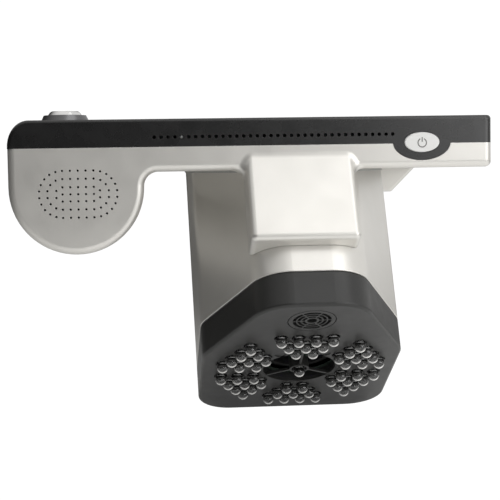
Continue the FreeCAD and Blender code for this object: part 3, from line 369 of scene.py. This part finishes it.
def screen_glass():
    """Dark cover glass: black printed border, slightly lighter where the display shows through."""
    look = Look("display_glass", (0.008, 0.008, 0.009), 0.06, Coat_Weight=0.4, Coat_Roughness=0.03)
    low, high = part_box("lcd_module")
    half = ((high.x - low.x) / 2 - 4 * MM, (high.y - low.y) / 2 - 3 * MM)
    soft = 0.2 * MM
    split = look.add("ShaderNodeSeparateXYZ")
    look.link(look.place, split.inputs[0])
    inside = []
    for axis, limit in (("X", half[0]), ("Y", half[1])):
        size = look.add("ShaderNodeMath", operation="ABSOLUTE")
        look.link(split.outputs[axis], size.inputs[0])
        inside.append(look.spread(size.outputs["Value"], 1.0, 0.0, limit - soft, limit + soft))
    both = look.add("ShaderNodeMath", operation="MULTIPLY")
    look.link(inside[0], both.inputs[0])
    look.link(inside[1], both.inputs[1])
    clouds = look.spread(look.noise(25.0, 4.0), 0.0, 1.0)
    panel = look.mix(clouds, (0.018, 0.020, 0.026), (0.022, 0.025, 0.032))
    look.paint(look.mix(both.outputs["Value"], look.color, panel))
    smears = look.spread(look.noise(45.0, 6.0, (1.0, 2.5, 1.0)), 0.03, 0.16, 0.45, 0.75)
    look.link(smears, look.shader.inputs["Roughness"])
    return look.material


def circuit_board():
    """Dark grey-green solder mask with slightly paler tracks under it."""
    look = Look("board", (0.035, 0.050, 0.040), 0.40, Coat_Weight=0.2)
    tracks = look.add("ShaderNodeTexBrick")
    tracks.inputs["Scale"].default_value = 220.0
    tracks.inputs["Mortar Size"].default_value = 0.03
    look.link(look.place, tracks.inputs["Vector"])
    track_mask = tracks.outputs[1]
    solder_mask = look.mottle(60.0, 0.15)
    look.paint(look.mix(look.spread(track_mask, 0.0, 0.6, 0.0, 1.0), solder_mask, (0.050, 0.075, 0.058)))
    look.uneven_gloss(200.0, 0.08)
    look.relief(track_mask, 2e-5)
    return look.material


def lens_glass():
    """Lens glass under a violet anti-reflection coat."""
    look = Look("optics", (0.62, 0.70, 0.85), 0.02, Transmission_Weight=0.9, IOR=1.6, Coat_Weight=1.0,
                Coat_Tint=(0.55, 0.35, 0.95, 1.0))
    look.paint(look.mottle(90.0, 0.05))
    look.uneven_gloss(300.0, 0.015)
    return look.material


def make_materials():
    """One material for each slot of the record."""
    return {
        "silver_shell": silver_paint(),
        "black_shell": moulded("black_shell", (0.006, 0.006, 0.0061), 0.27, edge_wear_and_highlight=0.5, IOR=1.62),
        "dark_cap": moulded("dark_cap", (0.020, 0.020, 0.019), 0.38, edge_wear_and_highlight=0.4, Specular_IOR_Level=0.48),
        "gasket": moulded("gasket", (0.42, 0.42, 0.41), 0.55, grain=1200.0, depth=1e-5),
        "black_part": moulded("black_part", (0.010, 0.010, 0.0098), 0.5, grain=1500.0, depth=1e-5),
        "board": circuit_board(),
        "screw": metal("screw", (0.55, 0.55, 0.56), 0.28),
        "lens_barrel": moulded("lens_barrel", (0.018, 0.018, 0.018), 0.45, grain=900.0, depth=1e-5),
        "ribbon": moulded("ribbon", (0.55, 0.27, 0.05), 0.3, grain=500.0, depth=1e-5),
        "display_glass": screen_glass(),
        "lcd": moulded("lcd", (0.03, 0.03, 0.035), 0.25),
        "frame_metal": metal("frame_metal", (0.62, 0.62, 0.63), 0.35, (1.0, 12.0, 1.0)),
        "battery": moulded("battery", (0.03, 0.08, 0.28), 0.3, grain=700.0, depth=2e-5),
        "brass": metal("brass", (0.72, 0.50, 0.22), 0.25, (1.0, 10.0, 1.0)),
        "power_key": moulded("power_key", (0.82, 0.82, 0.805), 0.35, edge_wear_and_highlight=0.1),
        "symbol_ink": moulded("symbol_ink", (0.16, 0.155, 0.15), 0.5),
        "bezel": metal("bezel", (0.16, 0.16, 0.165), 0.30, (1.0, 1.0, 14.0)),
        "shutter_metal": metal("shutter_metal", (0.76, 0.76, 0.755), 0.10, (1.0, 1.0, 14.0)),
        "optics": lens_glass(),
        "led": clear_epoxy()}


def paint_cad_nodes(materials):
    """Give each CAD node the material of the slot that the record names for it."""
    for part in frame["record"]["subparts"]:
        obj = nodes[part["node"]]
        obj.data.materials.clear()
        obj.data.materials.append(materials[part["material_slot"]])


# ---- LEDs: clear bodies over metal lead frames ----
LED_SEGMENTS = 32
LED_DOME_RINGS = 9
LED_RIM_HEIGHT = 1.0 * MM
LED_RIM_EXTRA = 0.4 * MM
LED_RIM_SOFT = 0.12 * MM
LED_FLAT = 2.52 * MM
LED_CLUSTERS = 6
CUP_SEGMENTS = 16
CUP_X = 0.25 * MM
POST_WIDTH = 0.27 * MM
SECOND_POST_X = -0.95 * MM
WIRE_HALF = 0.03 * MM
SMOOTH_ANGLE = math.radians(40.0)


def islands(mesh):
    """Lists of the points of each separate solid in a mesh."""
    bm = bmesh.new()
    bm.from_mesh(mesh)
    bmesh.ops.remove_doubles(bm, verts=bm.verts, dist=1e-7)
    left = set(bm.verts)
    groups = []
    while left:
        seed = min(left, key=lambda v: v.index)
        left.discard(seed)
        queue = [seed]
        points = []
        while queue:
            vert = queue.pop()
            points.append(vert.co.copy())
            for edge in vert.link_edges:
                other = edge.other_vert(vert)
                if other in left:
                    left.discard(other)
                    queue.append(other)
        groups.append(points)
    bm.free()
    return groups


def led_places(node):
    """For each LED of a node: the middle of its base, its length and its body radius."""
    places = []
    for points in islands(nodes[node].data):
        along = [p.dot(HEAD_AXIS) for p in points]
        aside = [p.dot(HEAD_FRONT) for p in points]
        across = [p.x for p in points]
        length = max(along) - min(along)
        middle = Vector(((max(across) + min(across)) / 2, 0, 0))
        middle += HEAD_FRONT * ((max(aside) + min(aside)) / 2) + HEAD_AXIS * min(along)
        radius = (max(across) - min(across)) / 2 - LED_RIM_EXTRA
        places.append((middle, length, radius))
    return places


def head_matrix(place):
    """Frame at a place of the head: x along X, y towards the front edge, z out of the face."""
    turn = Matrix((Vector((1, 0, 0)), HEAD_FRONT, HEAD_AXIS)).transposed().to_4x4()
    return Matrix.Translation(place) @ turn


def lathe(bm, profile, segments, place):
    """Turn a profile of (radius, height) about the z of a placed frame; ends on the axis are closed."""
    rings = []
    for radius, height in profile:
        if radius == 0:
            rings.append([bm.verts.new(place @ Vector((0, 0, height)))])
            continue
        ring = []
        for i in range(segments):
            turn = 2 * math.pi * i / segments
            point = Vector((radius * math.cos(turn), radius * math.sin(turn), height))
            ring.append(bm.verts.new(place @ point))
        rings.append(ring)
    for low, high in zip(rings, rings[1:]):
        for i in range(segments):
            j = (i + 1) % segments
            corners = [low[i % len(low)], low[j % len(low)], high[j % len(high)], high[i % len(high)]]
            unique = list(dict.fromkeys(corners))
            if len(unique) > 2:
                bm.faces.new(unique)
    return rings


def led_body(bm, place, length, radius):
    """Rim with its flat, straight body and dome."""
    dome = length - radius
    rim = radius + LED_RIM_EXTRA
    soft = LED_RIM_SOFT
    profile = [(0, 0), (rim - soft, 0), (rim, soft), (rim, LED_RIM_HEIGHT - soft),
               (rim - soft, LED_RIM_HEIGHT), (radius, LED_RIM_HEIGHT), (radius, (LED_RIM_HEIGHT + dome) / 2)]
    for i in range(LED_DOME_RINGS):
        turn = math.pi / 2 * i / LED_DOME_RINGS
        profile.append((radius * math.cos(turn), dome + radius * math.sin(turn)))
    profile.append((0, length))
    rings = lathe(bm, profile, LED_SEGMENTS, place)
    to_local = place.inverted()
    rim_rings = rings[1:5]
    for ring in rim_rings:
        for vert in ring:
            local = to_local @ vert.co
            if local.x > LED_FLAT:
                local.x = LED_FLAT
                vert.co = place @ local


def led_leads(bm, place, length, radius):
    """Anvil with its reflector cup, the second post, and the die's bond wire."""
    top = length - radius * 1.75
    cup_place = place @ Matrix.Translation((CUP_X, 0, 0))
    cup = [(0, top - 0.75 * MM), (0.55 * MM, top - 0.7 * MM), (0.95 * MM, top), (0.85 * MM, top),
           (0.45 * MM, top - 0.45 * MM), (0, top - 0.45 * MM)]
    lathe(bm, cup, CUP_SEGMENTS, cup_place)
    foot = 0.3 * MM
    for side, below in ((0.55 * MM, 0.7 * MM), (SECOND_POST_X, 0.15 * MM)):
        post = place @ Matrix.Translation((side, 0, 0))
        profile = [(0, foot), (POST_WIDTH, foot), (POST_WIDTH, top - below), (0, top - below)]
        lathe(bm, profile, 4, post)
    points = [Vector((CUP_X, 0, top - 0.4 * MM)), Vector((-0.3 * MM, 0, top + 0.15 * MM)),
              Vector((SECOND_POST_X, 0, top - 0.15 * MM))]
    wire = WIRE_HALF
    for first, second in zip(points, points[1:]):
        corners = []
        for point in (first, second):
            for dy, dz in ((-wire, -wire), (wire, -wire), (wire, wire), (-wire, wire)):
                corners.append(bm.verts.new(place @ (point + Vector((0, dy, dz)))))
        for i in range(4):
            j = (i + 1) % 4
            bm.faces.new((corners[i], corners[j], corners[4 + j], corners[4 + i]))


def finish_mesh(name, bm, material):
    """Turn finished mesh data into a piece of the scene, smooth but for its sharp edges."""
    bmesh.ops.recalc_face_normals(bm, faces=bm.faces)
    mesh = bpy.data.meshes.new(name)
    bm.to_mesh(mesh)
    bm.free()
    mesh.materials.append(material)
    mesh.shade_smooth()
    mesh.set_sharp_from_angle(angle=SMOOTH_ANGLE)
    piece = bpy.data.objects.new(name, mesh)
    scene.collection.objects.link(piece)
    return piece


def add_leds(materials):
    """Replace each group of LEDs by clear bodies, and add their lead frames."""
    groups = ["led_cluster_%d" % (k + 1) for k in range(LED_CLUSTERS)] + ["centre_led"]
    for group in groups:
        bodies = bmesh.new()
        leads = bmesh.new()
        for middle, length, radius in led_places(group):
            place = head_matrix(middle)
            led_body(bodies, place, length, radius)
            led_leads(leads, place, length, radius)
        piece = finish_mesh(group + "_lenses", bodies, materials["led"])
        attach(piece, "housing")
        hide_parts(group)
        inner = finish_mesh(group + "_leads", leads, materials["screw"])
        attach(inner, "housing")


# ---- The scene ----
add_camera()
add_world()
softbox("overhead_softbox", (0.52, -0.72, 0.95), (0.0, -0.06, -0.08), (0.9, 0.8), 1.25)
softbox("right_softbox", (1.15, -1.6, 0.30), (0.0, -0.08, -0.03), (1.6, 1.2), 2.15)
add_floor()
materials = make_materials()
paint_cad_nodes(materials)
add_leds(materials)
